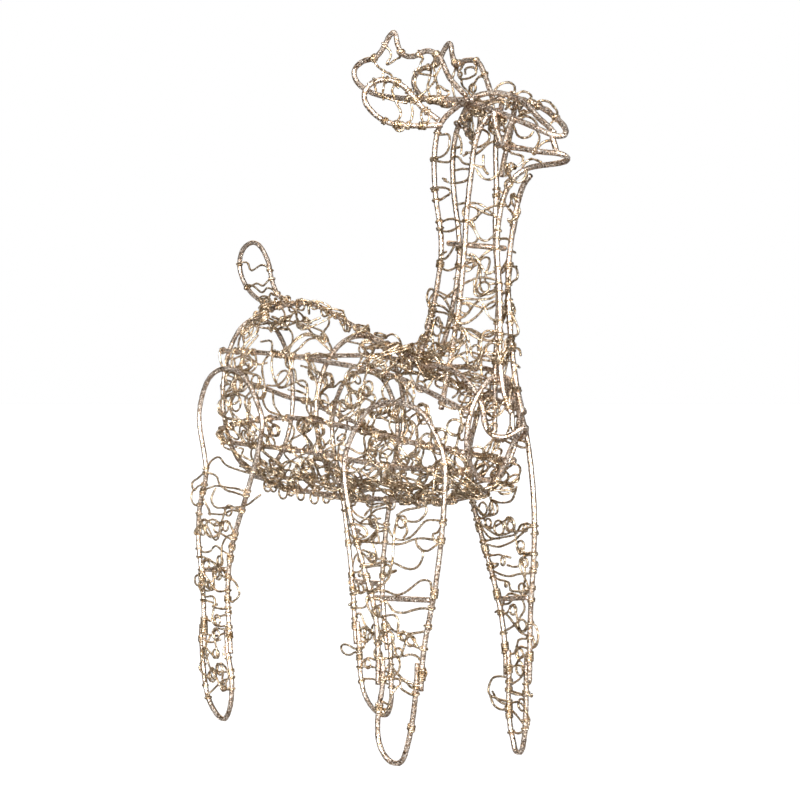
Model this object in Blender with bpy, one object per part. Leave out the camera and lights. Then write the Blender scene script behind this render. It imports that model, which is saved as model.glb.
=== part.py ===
"""Standing reindeer decoration: a welded frame of thick wire with thin curly wire laid over it.

The frame is drawn in millimetres. X runs forward, Y to the animal's left and Z up from the feet.
Wires that are welded side by side keep a small gap, because each wire is a solid of its own.
"""
import math

import bmesh
import bpy
from mathutils import Vector

# Stock and joints, in millimetres
MM = 0.001
FRAME_WIRE = 3.0
SCROLL_WIRE = 1.2
GAP = 0.4
LAP = FRAME_WIRE + GAP
OVERLAY = (FRAME_WIRE + SCROLL_WIRE) / 2 + GAP
FRAME_CHORD_ERROR = 0.32
SCROLL_CHORD_ERROR = 1.1
SMOOTHING_STEPS = 14

# The middle of the bounding box lies this far in front of the drawing's zero
MIDDLE_X = 6.65

# Legs
FOOT_FLAT = 0.35
SOLE_HALF_LENGTH = 2.5
FOOT_OVERLAP_BOTTOM = 47
FOOT_OVERLAP_TOP = 63
LEG_SCROLL_TOP = 124

# Heights at which the limbs of the front and rear arches and of the hooves are measured
FRONT_HEIGHTS = (47, 63, 80, 98, 120, 145, 165, 185, 203)
REAR_HEIGHTS = (47, 63, 80, 98, 122, 146, 168, 188, 208, 226)
HOOF_HEIGHTS = (63, 47, 32, 16, 6)

# Each leg: its side, where its foot stands and the angle it is turned by in plan. Distances forward of
# the foot follow: the arch's rear and front limb, its crown with a height, the heights of the knee
# bar's two ends, and the two limbs of the hoof
LEGS = {
    "front_right_leg": dict(
        side=-1, foot=(62, 39.0), turn=11, heights=FRONT_HEIGHTS,
        rear=(-12.8, -12.8, -13.6, -17, -25, -33, -38.3, -38.6, -30),
        front=(19.4, 20.4, 24, 27.6, 31.8, 35, 36.6, 36.3, 28),
        crown=(-2, 218.5), bar=(99.5, 101.5),
        hoof_rear=(-9.4, -9.4, -12.4, -13, -9), hoof_front=(16.9, 15.8, 12.8, 10, 7),
    ),
    "front_left_leg": dict(
        side=1, foot=(92, 36.5), turn=11, heights=FRONT_HEIGHTS,
        rear=(-12.6, -13.4, -16.6, -22.8, -33.7, -46, -54, -54.5, -48),
        front=(12.2, 12.9, 13.7, 14.1, 16.5, 17.6, 16, 12.6, 7.4),
        crown=(-20, 226), bar=(94, 98.5),
        hoof_rear=(-10, -9.2, -9.8, -8.1, -4.2), hoof_front=(9.5, 8.8, 8.5, 7.7, 5.4),
    ),
    "rear_right_leg": dict(
        side=-1, foot=(-109, 44.5), turn=0, heights=REAR_HEIGHTS,
        rear=(-21.8, -22.3, -23.2, -25.2, -29.4, -27.6, -20, -24, -28.6, -23.2),
        front=(9.5, 7.5, 6.3, 6.4, 11.5, 22.9, 33, 41, 45, 32),
        crown=(4, 241.5), bar=(101.3, 104.3),
        hoof_rear=(-25.7, -25.2, -22.8, -19, -11), hoof_front=(4.1, 6, 10.2, 10.1, 6.3),
    ),
    "rear_left_leg": dict(
        side=1, foot=(-44, 44.5), turn=0, heights=REAR_HEIGHTS,
        rear=(-28.6, -30.3, -32, -33.8, -37.8, -42.5, -48, -54, -55, -47),
        front=(4.9, 2.1, 0.4, -0.3, 2.2, 6.6, 10.6, 14.3, 15, 7),
        crown=(-20, 240), bar=(91.3, 92.4),
        hoof_rear=(-26.9, -25.2, -24.6, -21, -13), hoof_front=(5.6, 8.3, 8.2, 9.2, 7),
    ),
}

# Body hoops: station along X, lowest and highest point, half width, forward lean and shift to the left
HOOPS = {
    "rump_hoop": (-128, 168, 278, 31, 0, 0),
    "middle_hoop": (-15, 160, 262, 38, 0, 0),
    "chest_hoop": (110, 172, 234, 21.5, 0.17, -3.5),
}

# Side wires: angle above the horizontal at the rump, middle and chest hoops and halfway between them
SIDE_WIRES = {
    "upper_side_wire_right": (-1, (32.7, 36, 38.4, 37, 16)),
    "middle_side_wire_right": (-1, (-23.5, -10, -4, -12, -24)),
    "lower_side_wire_right": (-1, (-34, -29.6, -28, -38, -47)),
    "upper_side_wire_left": (1, (29, 36, 42, 30, 16)),
    "middle_side_wire_left": (1, (-3, -11.5, -20, -26, -36)),
}

# The left middle wire is bent round behind the rump and ends on the right side
RUMP_BEND = ((-134, -24, 245), (-134.5, -12, 236), (-134.5, 0, 231), (-134.5, 13.5, 227.5), (-134, 24, 224),
             (-131.5, 33, 221), (-124, 37.4, 219.5))

FRAME_COLOUR = (0.56, 0.42, 0.32, 1)
SCROLL_COLOUR = (0.45, 0.33, 0.24, 1)


def clear_scene():
    for obj in list(bpy.data.objects):
        bpy.data.objects.remove(obj)


def metal(name, colour):
    material = bpy.data.materials.new(name)
    material.use_nodes = True
    shader = material.node_tree.nodes["Principled BSDF"]
    shader.inputs["Base Color"].default_value = colour
    shader.inputs["Metallic"].default_value = 0.8
    shader.inputs["Roughness"].default_value = 0.45
    return material


def smooth(points, closed=False):
    """A Catmull-Rom curve through the points, as many short chords."""
    points = [Vector(p) for p in points]
    count = len(points)
    spans = count if closed else count - 1
    out = []
    for i in range(spans):
        if closed:
            p0, p1, p2, p3 = (points[(i + k) % count] for k in (-1, 0, 1, 2))
        else:
            p0, p1, p2, p3 = (points[min(max(i + k, 0), count - 1)] for k in (-1, 0, 1, 2))
        for step in range(SMOOTHING_STEPS):
            t = step / SMOOTHING_STEPS
            out.append(
                0.5 * (2 * p1 + (p2 - p0) * t + (2 * p0 - 5 * p1 + 4 * p2 - p3) * t**2
                       + (3 * p1 - p0 - 3 * p2 + p3) * t**3)
            )
    if not closed:
        out.append(points[-1])
    return out


def thinned(points, error):
    """The fewest of these points whose chords stay this close to the path."""
    if len(points) < 3:
        return points
    start, end = points[0], points[-1]
    along = end - start
    length = along.length or 1.0
    offsets = [
        (p - start).cross(along).length / length if along.length else (p - start).length for p in points
    ]
    far = max(range(len(points)), key=offsets.__getitem__)
    if offsets[far] <= error:
        return [start, end]
    return thinned(points[: far + 1], error)[:-1] + thinned(points[far:], error)


def thinned_ring(points, error):
    half = len(points) // 2
    first = thinned(points[: half + 1], error)
    second = thinned(points[half:] + points[:1], error)
    return first[:-1] + second[:-1]


def wire(name, points, thickness=FRAME_WIRE, closed=False, curved=True):
    """One wire as a curve object with a round section and closed ends."""
    error = FRAME_CHORD_ERROR if thickness == FRAME_WIRE else SCROLL_CHORD_ERROR
    path = smooth(points, closed) if curved else [Vector(p) for p in points]
    path = thinned_ring(path, error) if closed else thinned(path, error)
    curve = bpy.data.curves.new(name, "CURVE")
    curve.dimensions = "3D"
    curve.bevel_depth = thickness / 2 * MM
    curve.bevel_resolution = 1 if thickness == FRAME_WIRE else 0
    curve.use_fill_caps = not closed
    spline = curve.splines.new("POLY")
    spline.points.add(len(path) - 1)
    spline.use_cyclic_u = closed
    for point, place in zip(spline.points, path):
        x, y, z = place
        point.co = ((x - MIDDLE_X) * MM, y * MM, z * MM, 1)
    obj = bpy.data.objects.new(name, curve)
    curve.materials.append(frame_metal if thickness == FRAME_WIRE else scroll_metal)
    reindeer.objects.link(obj)
    return obj


def between(table, at):
    """A value read from a table of (place, value) pairs by straight lines."""
    for (a, first), (b, second) in zip(table, table[1:]):
        if at <= b:
            return first + (second - first) * max(at - a, 0) / (b - a)
    return table[-1][1]


# Legs

def leg_place(leg, along, height, outward=0.0):
    """A point of the leg's upright plane, in the drawing's frame."""
    turn = math.radians(leg["turn"])
    x, y = leg["foot"]
    x += along * math.cos(turn) + outward * math.sin(turn)
    y += -along * math.sin(turn) + outward * math.cos(turn)
    return Vector((x, leg["side"] * y, height))


def limb(leg, which, height):
    """How far in front of the foot one limb stands at a height, on the hoof below the overlap."""
    if height < FOOT_OVERLAP_BOTTOM:
        return between(list(zip(HOOF_HEIGHTS, leg["hoof_" + which]))[::-1], height)
    return between(list(zip(leg["heights"], leg[which])), height)


def arch(name, leg):
    """The hairpin wire: up one limb, over the top and down the other."""
    rear, front = [
        [leg_place(leg, along, z) for z, along in zip(leg["heights"], leg[which])]
        for which in ("rear", "front")
    ]
    middle, top = leg["crown"]
    rise = top - leg["heights"][-1]
    shoulders = [
        leg_place(leg, middle + (leg[which][-1] - middle) * 0.62, top - rise * 0.27)
        for which in ("rear", "front")
    ]
    crown = [shoulders[0], leg_place(leg, middle, top), shoulders[1]]
    wire(name + "_arch", rear + crown + front[::-1])


def foot(name, leg):
    """The U of wire that forms the hoof, pressed flat where it stands."""
    rear, front = [
        [leg_place(leg, along, z) for z, along in zip(HOOF_HEIGHTS, leg["hoof_" + which])]
        for which in ("rear", "front")
    ]
    low = FRAME_WIRE / 2 - FOOT_FLAT
    sole = [leg_place(leg, along, low) for along in (-SOLE_HALF_LENGTH, SOLE_HALF_LENGTH)]
    press_flat(wire(name + "_foot", rear + sole + front[::-1]))


def press_flat(obj):
    """Cuts the solid off level with the floor, and leaves a small flat face there."""
    bpy.context.view_layer.update()
    graph = bpy.context.evaluated_depsgraph_get()
    mesh = bpy.data.meshes.new_from_object(obj.evaluated_get(graph))
    shape = bmesh.new()
    shape.from_mesh(mesh)
    bmesh.ops.remove_doubles(shape, verts=shape.verts, dist=1e-6)
    cut = bmesh.ops.bisect_plane(
        shape,
        geom=shape.verts[:] + shape.edges[:] + shape.faces[:],
        plane_co=(0, 0, 0),
        plane_no=(0, 0, 1),
        clear_inner=True,
    )
    rim = [e for e in cut["geom_cut"] if isinstance(e, bmesh.types.BMEdge)]
    bmesh.ops.edgeloop_fill(shape, edges=rim)
    bmesh.ops.recalc_face_normals(shape, faces=shape.faces)
    shape.to_mesh(mesh)
    shape.free()
    name = obj.name
    bpy.data.objects.remove(obj)
    mesh.name = name
    mesh.shade_smooth()
    mesh.set_sharp_from_angle(angle=math.radians(40))
    reindeer.objects.link(bpy.data.objects.new(name, mesh))


def crossbar(name, leg):
    """The knee's short bar, butted between the two limbs."""
    rear, front = leg["bar"]
    clear = FRAME_WIRE / 2 + 1.5 * GAP
    ends = [
        leg_place(leg, limb(leg, "rear", rear) + clear, rear),
        leg_place(leg, limb(leg, "front", front) - clear, front),
    ]
    wire(name + "_knee_bar", ends, curved=False)


def leg_scroll(name, leg, waves=6):
    """Curly wire that swings from limb to limb, laid on the leg's outer face below the wide arch."""
    lowest, highest = 12, LEG_SCROLL_TOP
    points = []
    steps = waves * 4
    for i in range(steps + 1):
        height = highest + (lowest - highest) * i / steps
        rear, front = limb(leg, "rear", height) + 0.5, limb(leg, "front", height) - 0.5
        swing = math.sin(math.pi * i / 2) * (front - rear) / 2
        points.append(leg_place(leg, (rear + front) / 2 + swing, height, OVERLAY))
    wire(name + "_scroll", points, SCROLL_WIRE)


# Body

def barrel(x, degrees, side=1, raise_by=0.0):
    """A point of the barrel at a station, or just outside it."""
    low, high, half, lean, shift = [
        between([(sizes[0], sizes[i]) for sizes in HOOPS.values()], x) for i in (1, 2, 3, 4, 5)
    ]
    angle = math.radians(degrees)
    rise = ((high - low) / 2 + raise_by) * math.sin(angle)
    reach = (half + raise_by) * math.cos(angle)
    return Vector((x + lean * rise, shift + side * reach, (low + high) / 2 + rise))


def hoops():
    for name, sizes in HOOPS.items():
        wire(name, [barrel(sizes[0], 15 * i) for i in range(24)], closed=True, curved=False)


def side_wires():
    """Rods along the flanks, outside the hoops, with a little more belly between them."""
    rump, middle, chest = [sizes[0] for sizes in HOOPS.values()]
    for name, (side, angles) in SIDE_WIRES.items():
        stations = (
            (rump - 3, LAP), ((rump + middle) / 2, LAP + 1.5), (middle, LAP),
            ((middle + chest) / 2, LAP + 1.0), (chest + 1.5, LAP),
        )
        places = [barrel(x, angle, side, lap) for (x, lap), angle in zip(stations, angles)]
        if name == "middle_side_wire_left":
            places[:1] = RUMP_BEND
        wire(name, places)


def body_scroll(name, start, end, side, waves):
    """Curly wire inside the side wires, swinging from the back down to the belly."""
    steps = waves * 8
    points = []
    for i in range(steps + 1):
        x = start + (end - start) * i / steps
        swing = 74 * math.cos(math.pi * i / 4)
        points.append(barrel(x + 3 * math.sin(math.pi * i / 2), swing, side))
    wire(name, points, SCROLL_WIRE)


def body():
    hoops()
    side_wires()
    wire("spine_wire", [(-133, 0, 280.6), (-126, 0, 282), (-99, 0, 286), (-70, 0, 286), (-47, 0, 279),
                        (-15, 0, 265.4), (20, 0, 252), (44, 0, 243)])
    wire("belly_wire", [(-133, 0, 165), (-128, 0, 164.6), (-91, 0, 158), (-15, 0, 156.6), (50, 0, 156),
                        (80, 0, 160), (105, 0, 168), (115, 0, 180), (121, 0, 191), (128, 0, 201.5)])
    tail = [(-78, 287), (-100, 288), (-124, 290), (-139, 297), (-149, 308), (-152, 319), (-147, 329),
            (-135, 333), (-124, 329), (-114, 317), (-109, 304), (-101, 293), (-90, 290)]
    wire("tail_loop", [(x, tail_offset(i, len(tail)), z) for i, (x, z) in enumerate(tail)])
    scroll = [(x, OVERLAY, z) for x, z in ((-104, 296), (-119, 300), (-113, 310), (-139, 305), (-121, 317),
                                          (-146, 316), (-125, 324), (-143, 327))]
    wire("tail_scroll", scroll, SCROLL_WIRE)
    rump, middle, chest = [sizes[0] for sizes in HOOPS.values()]
    for side, word in ((-1, "right"), (1, "left")):
        body_scroll("flank_scroll_rear_" + word, rump + 5, middle - 5, side, 3)
        body_scroll("flank_scroll_front_" + word, middle + 5, 42, side, 1)


def tail_offset(i, count):
    """The tail's two ends lie on either side of the spine wire, and the loop crosses over between them."""
    return LAP * (1 - 2 * i / (count - 1))


# Neck and head

def neck():
    wire("nape_and_nose_wire", [
        (50, -8, 246), (57, -8, 261), (65, -8, 285), (70, -8, 312), (67, -8, 332), (64, -8, 353),
        (64, -8, 372), (68, -7.5, 388), (78, -5, 397), (92, 0, 403.5), (106, 5, 404), (122, 8, 398),
        (138, 8, 391), (152, 6, 382), (161, 3, 375), (164, -1, 370), (160, -5, 370), (148, -9, 376),
        (132, -10, 383.5), (114, -10, 391), (98, -6, 397), (85, 0, 398.5), (73, 6, 393), (66, 8, 384),
        (63.5, 8, 370), (64, 8, 354), (67, 8, 332), (69.5, 8, 312), (66, 8, 288), (58, 8, 262), (50, 8, 246),
    ])
    wire("neck_side_wire_right", [(113, -11, 387), (107, -13, 378), (104, -13, 366), (100, -13, 350),
                                  (97, -13, 330), (95.5, -13, 312), (92, -13, 285), (87, -13, 260),
                                  (81, -13, 238), (75, -13, 214)])
    wire("neck_side_wire_left", [(106.8, 7.6, 401.8), (105, 9, 398.5), (99, 12, 388), (96, 13, 375),
                                 (96.5, 13, 350), (95.5, 13, 330), (96, 13, 312), (98, 13, 290),
                                 (97, 13, 262), (95.5, 13, 236), (95, 13, 200)])
    wire("jaw_and_throat_wire", [
        (119, -9, 371), (125, -9.5, 368), (138, -9, 365), (152, -7, 361.5), (163, -3, 359.5), (165, 1, 357),
        (158, 4, 356), (146, 4, 356), (134, 2, 355.5), (127, -2, 351), (121, -5, 341), (117, -6, 326),
        (115.5, -6, 312), (117, -6, 295), (118, -6, 270), (118, -6, 248), (120, -6, 228), (126, -5, 212),
    ])
    wire("throat_wire_left", [(131, 6.5, 352), (124, 7, 346), (119, 6.5, 332), (115.5, 6, 312),
                              (113, 6, 295), (114, 6, 270), (116.5, 6, 250), (119.5, 6, 230),
                              (126, 5, 212)])
    wire("collar", [
        (48.5, 0, 240.8), (51.5, 8, 240.8), (66, 13.5, 240.4), (79, 16.8, 239.7), (90, 17.2, 237.6),
        (100, 16, 232.2), (108, 12.8, 225), (112.5, 9.5, 217.5), (114, 8.5, 209.4), (114.3, 8.5, 203.5),
        (118, 8.5, 199.2), (123.5, 7, 197.8), (128.5, 4.5, 200.4), (133, 0, 204.5), (128.5, -5, 200.4),
        (123.5, -9, 197.8), (118, -12, 199.2), (114.3, -14, 203.5), (114, -15, 209.4),
        (112.5, -16.2, 217.5), (108, -17, 225), (100, -17.2, 232.2), (90, -17.2, 237.6),
        (79, -16.8, 239.7), (66, -13.5, 240.4), (51.5, -8, 240.8),
    ], closed=True)
    # The ring lies inside the six wires.
    right = [(72, 0), (73.5, -5.2), (79, -8.4), (87, -9.3), (95.5, -9.5), (104, -8.7), (109.5, -6.4),
             (112, -3.8), (113, 0)]
    left = [(x, -y) for x, y in right[-2:0:-1]]
    wire("neck_ring", [(x, y, 313 - 0.14 * (x - 92.5)) for x, y in right + left], closed=True)


def neck_place(height, along, side):
    """A point on the neck's outer side: along runs from the nape at -1 to the throat at 1."""
    rear = between(((246, 50), (285, 65), (312, 70), (332, 67), (353, 64)), height)
    front = between(((246, 116), (285, 114), (312, 115), (332, 117), (353, 126)), height)
    middle = (rear + front) / 2
    bulge = math.sqrt(max(1 - along * along, 0))
    half = 8 + (14.8 - 8) * bulge + OVERLAY
    return Vector((middle + (front - rear) / 2 * along, side * half, height))


def neck_scroll(name, low, high, side, waves):
    points = []
    steps = waves * 4
    for i in range(steps + 1):
        height = high + (low - high) * i / steps
        points.append(neck_place(height, 0.95 * math.cos(math.pi * i / 2), side))
    wire(name, points, SCROLL_WIRE)


def head():
    wire("nose_ridge_wire", [(121, 1.5, 399.5), (130, 0, 395), (138, -1, 389), (146, -1.5, 381.5),
                             (153, -1.5, 376), (157, -2, 372.3)])
    wire("jaw_strut", [(159.5, -5.6, 367.4), (160.5, -4.4, 362.2)], curved=False)
    wire("cheek_wire_right", [(120, -13.4, 389), (122, -13.4, 379), (127.5, -13.4, 367.5), (131, -13.4, 374),
                              (136, -13.4, 383)])
    wire("cheek_wire_left", [(116, 9.6, 398.3), (113, 11, 392), (108, 13, 380), (103, 13.2, 366),
                             (100, 13.4, 355)])


# Ears and antlers

EAR_OUTLINE = ((-2, 0), (8, -0.6), (20, -0.8), (31, 1), (39, 6), (44.5, 13.5), (43.5, 21), (36.5, 26),
               (27, 26), (19, 21.5), (10, 11), (0, 3.6))
ANTLERS = {
    "right": (94, ((-3, -2.7), (3, -1.8), (18, 0.5), (40, 3.5), (60, 7), (75, 12), (86, 20), (88, 28),
                   (80, 32.5), (70, 33.5), (61, 42), (57.4, 46.6), (54.8, 46.4), (53.4, 40), (49, 32),
                   (40, 29.5), (30, 31.5), (21, 26.5), (14, 14), (5, 4.7), (1.9, 1.4))),
    "left": (98, ((-5, 0), (3, -1), (20, 1), (48, 5), (72, 12), (86, 20), (91, 28), (83, 33.5), (66, 33.5),
                  (55.5, 39.5), (50, 43.8), (47.2, 43.6), (45.6, 37), (41, 29), (31, 29.5), (17, 26),
                  (10, 16), (4, 5), (2.4, 2.2))),
}


def upright(root, heading, side, along, rise, outward=0.0):
    """A point of an upright plane that starts at the root and heads away from the head."""
    length = math.hypot(*heading)
    dx, dy = heading[0] / length, heading[1] / length
    return Vector((root[0] + along * dx + outward * dy, side * (root[1] + along * dy - outward * dx),
                   root[2] + rise))


def ears_and_antlers():
    for side, word in ((-1, "right"), (1, "left")):
        ear = ((71, 12.5, 387.5), (-27, 40), side)
        wire("ear_loop_" + word, [upright(*ear, along, rise) for along, rise in EAR_OUTLINE])
        wave = [(6 + 36 * i / 10, 9 + 5 * i / 10 + (5 + 5 * i / 10) * math.cos(math.pi * i))
                for i in range(11)]
        wire("ear_scroll_" + word, [upright(*ear, s, z, OVERLAY) for s, z in wave], SCROLL_WIRE)
        root, outline = ANTLERS[word]
        antler = ((root, 9.6, 402), (-93, 16.2), side)
        wire("antler_" + word, [upright(*antler, along, rise) for along, rise in outline])
        wave = [(14 + 68 * i / 16, 17 + 3 * i / 16 + (13 - 2 * i / 16) * math.cos(math.pi * i))
                for i in range(17)]
        wire("antler_scroll_" + word, [upright(*antler, s, z, OVERLAY) for s, z in wave], SCROLL_WIRE)


clear_scene()
reindeer = bpy.data.collections.new("wire_reindeer")
bpy.context.scene.collection.children.link(reindeer)
frame_metal = metal("glittered_frame_wire", FRAME_COLOUR)
scroll_metal = metal("glittered_scroll_wire", SCROLL_COLOUR)
for leg_name, leg_sizes in LEGS.items():
    arch(leg_name, leg_sizes)
    foot(leg_name, leg_sizes)
    crossbar(leg_name, leg_sizes)
    leg_scroll(leg_name, leg_sizes)
body()
neck()
head()
ears_and_antlers()
for scroll_side, scroll_word in ((-1, "right"), (1, "left")):
    neck_scroll("neck_scroll_upper_" + scroll_word, 326, 352, scroll_side, 2)
    neck_scroll("neck_scroll_lower_" + scroll_word, 250, 302, scroll_side, 3)
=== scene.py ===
"""Looks of the standing reindeer: glitter-coated frame wire, laced all over with thin curly wire.

The CAD frame gives every thick wire its place. The thin wires are strung between those wires here.
"""
import math
import random

import bmesh
import bpy
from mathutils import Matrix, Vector, noise
from mathutils.geometry import interpolate_bezier


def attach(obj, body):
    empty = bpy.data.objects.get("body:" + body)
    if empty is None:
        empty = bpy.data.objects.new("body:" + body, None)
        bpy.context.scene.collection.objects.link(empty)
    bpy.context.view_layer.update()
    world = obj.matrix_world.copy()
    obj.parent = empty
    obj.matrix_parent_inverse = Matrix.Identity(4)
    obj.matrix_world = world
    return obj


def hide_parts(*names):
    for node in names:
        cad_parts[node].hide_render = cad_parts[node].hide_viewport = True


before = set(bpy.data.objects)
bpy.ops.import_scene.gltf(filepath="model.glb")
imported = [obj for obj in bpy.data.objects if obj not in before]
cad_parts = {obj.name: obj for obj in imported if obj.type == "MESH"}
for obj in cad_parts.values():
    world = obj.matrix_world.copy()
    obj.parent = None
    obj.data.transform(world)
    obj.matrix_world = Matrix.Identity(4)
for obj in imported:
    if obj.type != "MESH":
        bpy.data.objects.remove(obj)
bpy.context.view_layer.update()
scene = bpy.context.scene
MM = 0.001


# Leg frames. Each leg is a hairpin of thick wire, a U of the same wire for the hoof and a short bar
# at the knee. They are bent cold, welded side by side and dipped in glue and champagne glitter.
FRAME_WIRE = 3.0 * MM
COAT = 0.35 * MM
# The edges of a CAD wire: those of an end cap are sharper than this angle, and those round a
# closed wire are shorter than this length
CAP_ANGLE = 1.3
RING_EDGE = 0.55 * FRAME_WIRE


def middle_line(node, closed=False):
    """The line through the middle of a CAD wire, found ring by ring from its rear end.

    A closed wire has no end: its line starts at the rearmost ring and sets off to the right.
    """
    shape = bmesh.new()
    shape.from_mesh(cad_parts[node].data)
    bmesh.ops.remove_doubles(shape, verts=shape.verts, dist=0.001 * MM)
    shape.verts.index_update()
    if closed:
        rims = {e for e in shape.edges if e.calc_length() < RING_EDGE}
        first = shape.verts
    else:
        rims = {e for e in shape.edges if e.is_manifold and e.calc_face_angle() > CAP_ANGLE}
        first = [v for v in shape.verts if len(rims.intersection(v.link_edges)) == 2]
    ring = {min(first, key=lambda v: v.co.x)}
    line, seen = [], set()
    while ring:
        if len(line) < 1 + closed:
            ring = {min(ring, key=lambda v: v.co.y)}
            for step in range(3):
                ring |= {e.other_vert(v) for v in ring for e in v.link_edges if e in rims}
        in_order = sorted(ring, key=lambda v: v.index)
        line.append(sum((v.co for v in in_order), Vector()) / len(ring))
        seen |= ring
        ring = {e.other_vert(v) for v in ring for e in v.link_edges} - seen
    shape.free()
    return line


# A smooth line gets a point about every three of these lengths
BEND_STEP = 0.3 * MM


def bent(points, closed=False):
    """A smooth line through the points, each bend shared out between the runs on either side."""
    if closed:
        points = [points[-1], *points, *points[:2]]
    else:
        points = [2 * points[0] - points[1], *points, 2 * points[-1] - points[-2]]
    ways = []
    for a, b, c in zip(points, points[1:], points[2:]):
        before, after = b - a, c - b
        ways.append((before.normalized() * after.length + after.normalized() * before.length).normalized())
    line = []
    for a, b, way_a, way_b in zip(points[1:-1], points[2:-1], ways, ways[1:]):
        third = (b - a).length / 3
        steps = max(3, round(third / BEND_STEP))
        line += interpolate_bezier(a, a + way_a * third, b - way_b * third, b, steps)[:-1]
    return line if closed else line + points[-2:-1]


def evened(line, spacing, rounds, closed=False):
    """The same line with evenly spaced points, its corners eased by averaging neighbours."""
    if closed:
        line = line + line[:1]
    total = sum((b - a).length for a, b in zip(line, line[1:]))
    steps = max(2, round(total / spacing))
    out, index, passed = [], 0, 0.0
    for k in range(steps + 1):
        want = total * k / steps
        while index < len(line) - 2 and passed + (line[index + 1] - line[index]).length < want:
            passed += (line[index + 1] - line[index]).length
            index += 1
        a, b = line[index], line[index + 1]
        out.append(a.lerp(b, min((want - passed) / max((b - a).length, 1e-9), 1)))
    if closed:
        out.pop()
    for step in range(rounds):
        before = out[-1:] + out + out[:1] if closed else out[:1] + out + out[-1:]
        eased = [(a + 2 * b + c) / 4 for a, b, c in zip(before, before[1:], before[2:])]
        out = eased if closed else out[:1] + eased[1:-1] + out[-1:]
    return out


# How many lumps of glue there are to a metre of wire, and how high the fine ones stand to the coarse
COARSE_LUMPS = 900
FINE_LUMPS = 2100
FINE_SHARE = 0.6


def draw_wire(name, lines, thickness, material, sides, lump, closed=False):
    """Round wire along each line as one mesh, its coat of glue and glitter a little lumpy.

    The lumps are a share of the wire's radius. Nothing goes below the floor.
    """
    rng = random.Random(name)
    curve = bpy.data.curves.new(name, "CURVE")
    curve.dimensions = "3D"
    curve.bevel_depth = thickness / 2
    curve.bevel_resolution = sides
    curve.use_fill_caps = True
    for line in lines:
        spline = curve.splines.new("POLY")
        spline.points.add(len(line) - 1)
        spline.points.foreach_set("co", [value for p in line for value in (*p, 1)])
        spline.points.foreach_set("radius", [rng.uniform(1 - 1.4 * lump, 1 + 2 * lump) for p in line])
        spline.use_cyclic_u = closed
    path = bpy.data.objects.new(name + "_path", curve)
    scene.collection.objects.link(path)
    bpy.context.view_layer.update()
    mesh = bpy.data.meshes.new_from_object(path.evaluated_get(bpy.context.evaluated_depsgraph_get()))
    bpy.data.objects.remove(path)
    shape = bmesh.new()
    shape.from_mesh(mesh)
    bmesh.ops.remove_doubles(shape, verts=shape.verts, dist=0.002 * MM)
    bmesh.ops.recalc_face_normals(shape, faces=shape.faces)
    shape.normal_update()
    for vert in shape.verts:
        swell = noise.noise(vert.co * COARSE_LUMPS) + FINE_SHARE * noise.noise(vert.co * FINE_LUMPS)
        vert.co += vert.normal * swell * lump * thickness / 2
        vert.co.z = max(vert.co.z, 0)
    shape.to_mesh(mesh)
    shape.free()
    mesh.name = name
    mesh.shade_smooth()
    mesh.materials.clear()
    mesh.materials.append(material)
    wire = bpy.data.objects.new(name, mesh)
    scene.collection.objects.link(wire)
    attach(wire, "root")
    return wire


def glitter_coat(name, dark, middle, pale, flake):
    """Champagne glitter set in clear glue: every flake has its own tint, gloss and tilt.

    A slow drift of the tint stands for the patches where the glitter is worn thin.
    """
    material = bpy.data.materials.new(name)
    material.use_nodes = True
    nodes, links = material.node_tree.nodes, material.node_tree.links
    shader = nodes["Principled BSDF"]
    shader.inputs["Metallic"].default_value = 0.95
    shader.inputs["Specular Tint"].default_value = (0.5, 0.36, 0.22, 1)
    place = nodes.new("ShaderNodeTexCoord")
    flakes = nodes.new("ShaderNodeTexVoronoi")
    flakes.inputs["Scale"].default_value = 1 / flake
    parts = nodes.new("ShaderNodeSeparateColor")
    tint = nodes.new("ShaderNodeValToRGB")
    tint.color_ramp.elements[0].color = dark
    tint.color_ramp.elements[1].color = pale
    tint.color_ramp.elements[1].position = 0.86
    tint.color_ramp.elements.new(0.4).color = middle
    drift = nodes.new("ShaderNodeTexNoise")
    drift.inputs["Scale"].default_value = 160
    drift.inputs["Detail"].default_value = 4
    shade = nodes.new("ShaderNodeMapRange")
    shade.inputs["From Min"].default_value = 0.3
    shade.inputs["From Max"].default_value = 0.7
    shade.inputs["To Min"].default_value = -0.16
    shade.inputs["To Max"].default_value = 0.16
    pick = nodes.new("ShaderNodeMath")
    pick.use_clamp = True
    gloss = nodes.new("ShaderNodeMapRange")
    gloss.inputs["To Min"].default_value = 0.22
    gloss.inputs["To Max"].default_value = 0.5
    tilt = nodes.new("ShaderNodeBump")
    tilt.inputs["Strength"].default_value = 0.7
    tilt.inputs["Distance"].default_value = flake * 0.5
    for node in (flakes, drift):
        links.new(place.outputs["Object"], node.inputs["Vector"])
    links.new(flakes.outputs["Color"], parts.inputs["Color"])
    links.new(drift.outputs["Fac"], shade.inputs["Value"])
    links.new(parts.outputs["Red"], pick.inputs[0])
    links.new(shade.outputs["Result"], pick.inputs[1])
    links.new(pick.outputs["Value"], tint.inputs["Fac"])
    links.new(tint.outputs["Color"], shader.inputs["Base Color"])
    links.new(parts.outputs["Green"], gloss.inputs["Value"])
    links.new(gloss.outputs["Result"], shader.inputs["Roughness"])
    links.new(parts.outputs["Blue"], tilt.inputs["Height"])
    links.new(tilt.outputs["Normal"], shader.inputs["Normal"])
    return material


frame_glitter = glitter_coat(
    "champagne_glitter_on_frame_wire",
    dark=(0.05, 0.022, 0.006, 1), middle=(0.56, 0.4, 0.28, 1), pale=(1.0, 0.9, 0.81, 1), flake=0.62 * MM,
)


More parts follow.
